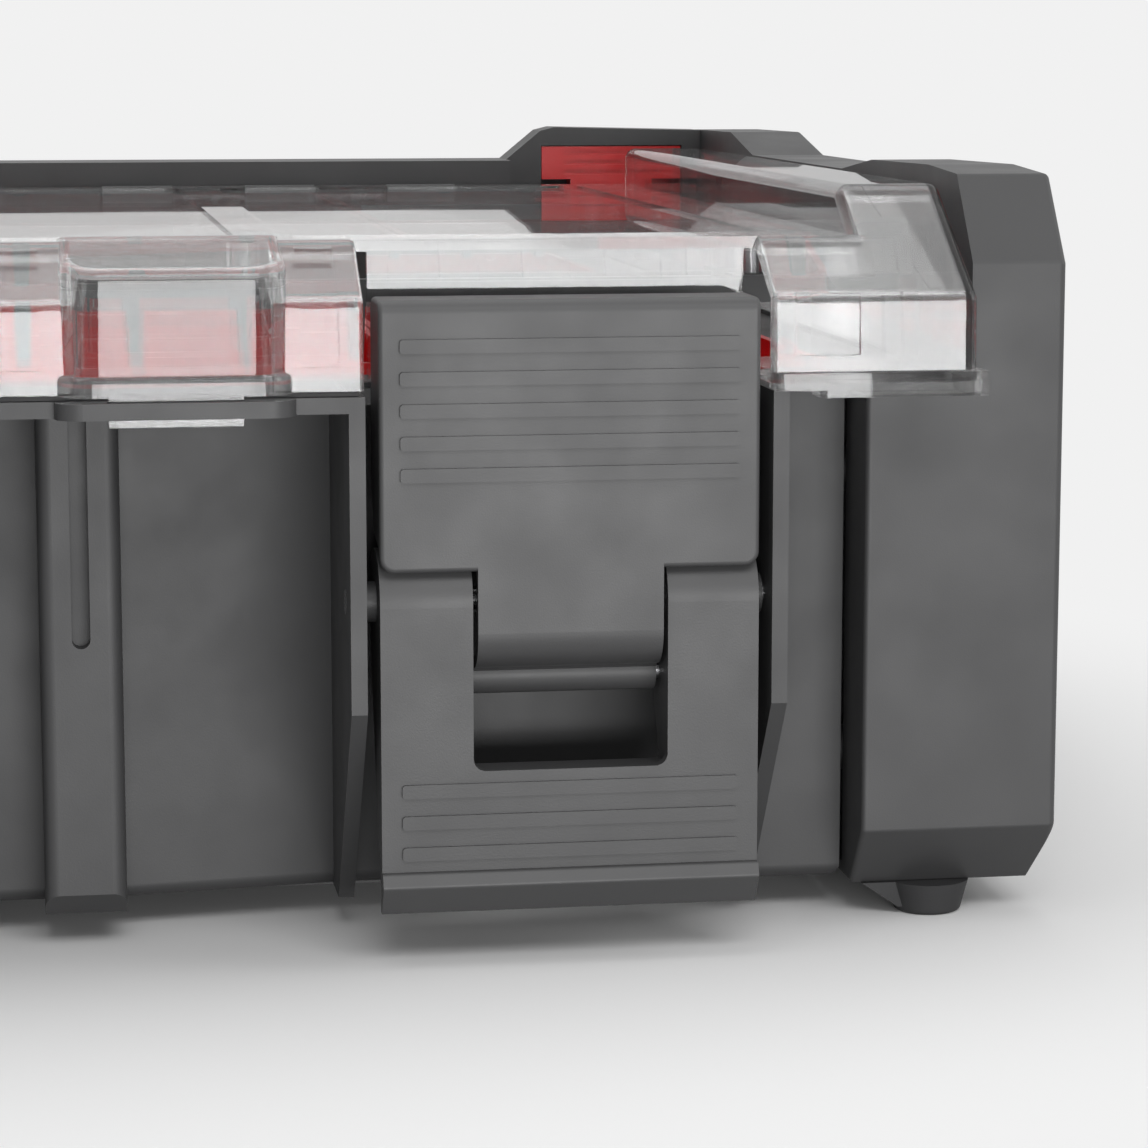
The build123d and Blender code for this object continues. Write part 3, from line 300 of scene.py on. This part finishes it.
def floor_material():
    """Pale where it is seen, darker in the light it throws, and backdrop far from the object."""
    material = bpy.data.materials.new("floor")
    material.use_nodes = True
    tree = material.node_tree
    lit = tree.nodes["Principled BSDF"]
    lit.inputs["Base Color"].default_value = FLOOR_INDIRECT
    lit.inputs["Roughness"].default_value = 0.9
    lit.inputs["Specular IOR Level"].default_value = 0.0
    pale = tree.nodes.new("ShaderNodeBsdfDiffuse")
    pale.inputs["Color"].default_value = FLOOR
    glow = tree.nodes.new("ShaderNodeEmission")
    glow.inputs["Color"].default_value = BACKDROP
    place = tree.nodes.new("ShaderNodeTexCoord")
    length = tree.nodes.new("ShaderNodeVectorMath")
    length.operation = "LENGTH"
    tree.links.new(place.outputs["Object"], length.inputs[0])
    fade = tree.nodes.new("ShaderNodeMapRange")
    fade.interpolation_type = "SMOOTHSTEP"
    fade.inputs["From Min"].default_value = FADE_START
    fade.inputs["From Max"].default_value = FADE_END
    tree.links.new(length.outputs["Value"], fade.inputs["Value"])
    direct = seen_directly(tree)
    near = add_mix(tree, direct, lit.outputs[0], pale.outputs[0])
    far = add_math(tree, "MULTIPLY", fade.outputs["Result"], direct)
    result = add_mix(tree, far, near, glow.outputs[0])
    tree.links.new(result, tree.nodes["Material Output"].inputs["Surface"])
    return material


def build_floor():
    """Pale floor that takes the shadow near the object and fades into the backdrop."""
    mesh = bpy.data.meshes.new("floor")
    angles = [math.tau * i / FLOOR_SIDES for i in range(FLOOR_SIDES)]
    ring = [(FLOOR_RADIUS * math.cos(a), FLOOR_RADIUS * math.sin(a), 0.0) for a in angles]
    mesh.from_pydata(ring, [], [tuple(range(FLOOR_SIDES))])
    floor = bpy.data.objects.new("floor", mesh)
    bpy.context.scene.collection.objects.link(floor)
    floor.data.materials.append(floor_material())


def softbox(name, place, target, size, power):
    """Rectangular lamp that the clear lid doesn't show from behind."""
    lamp = bpy.data.lights.new(name, "AREA")
    lamp.shape = "RECTANGLE"
    lamp.size, lamp.size_y = size
    lamp.energy = power
    obj = bpy.data.objects.new(name, lamp)
    obj.location = place
    ahead = Vector(target) - Vector(place)
    obj.rotation_euler = ahead.to_track_quat("-Z", "Y").to_euler()
    obj.visible_transmission = False
    bpy.context.scene.collection.objects.link(obj)


def build_lights():
    """Two low bright cards in front for the gloss of the lid, and soft boxes above and beside."""
    for lamp in LAMPS:
        softbox(*lamp)


def build_camera():
    """Camera that looks to the right and down by the fitted angles."""
    cos_turn, sin_turn = math.cos(CAMERA_TURN), math.sin(CAMERA_TURN)
    cos_drop, sin_drop = math.cos(CAMERA_DROP), math.sin(CAMERA_DROP)
    right = Vector((cos_turn, -sin_turn, 0.0))
    ahead = Vector((sin_turn * cos_drop, cos_turn * cos_drop, -sin_drop))
    up = right.cross(ahead)
    lens = bpy.data.cameras.new("camera")
    lens.sensor_width = CAMERA_SENSOR
    lens.lens = CAMERA_LENS
    lens.clip_start = CAMERA_CLIP_START
    camera = bpy.data.objects.new("camera", lens)
    axes = Matrix((right, up, -ahead)).transposed().to_4x4()
    camera.matrix_world = Matrix.Translation(CAMERA_PLACE) @ axes
    bpy.context.scene.collection.objects.link(camera)
    bpy.context.scene.camera = camera


bpy.context.scene.view_settings.view_transform = "Standard"
dress_nodes()
build_world()
build_floor()
build_lights()
build_camera()
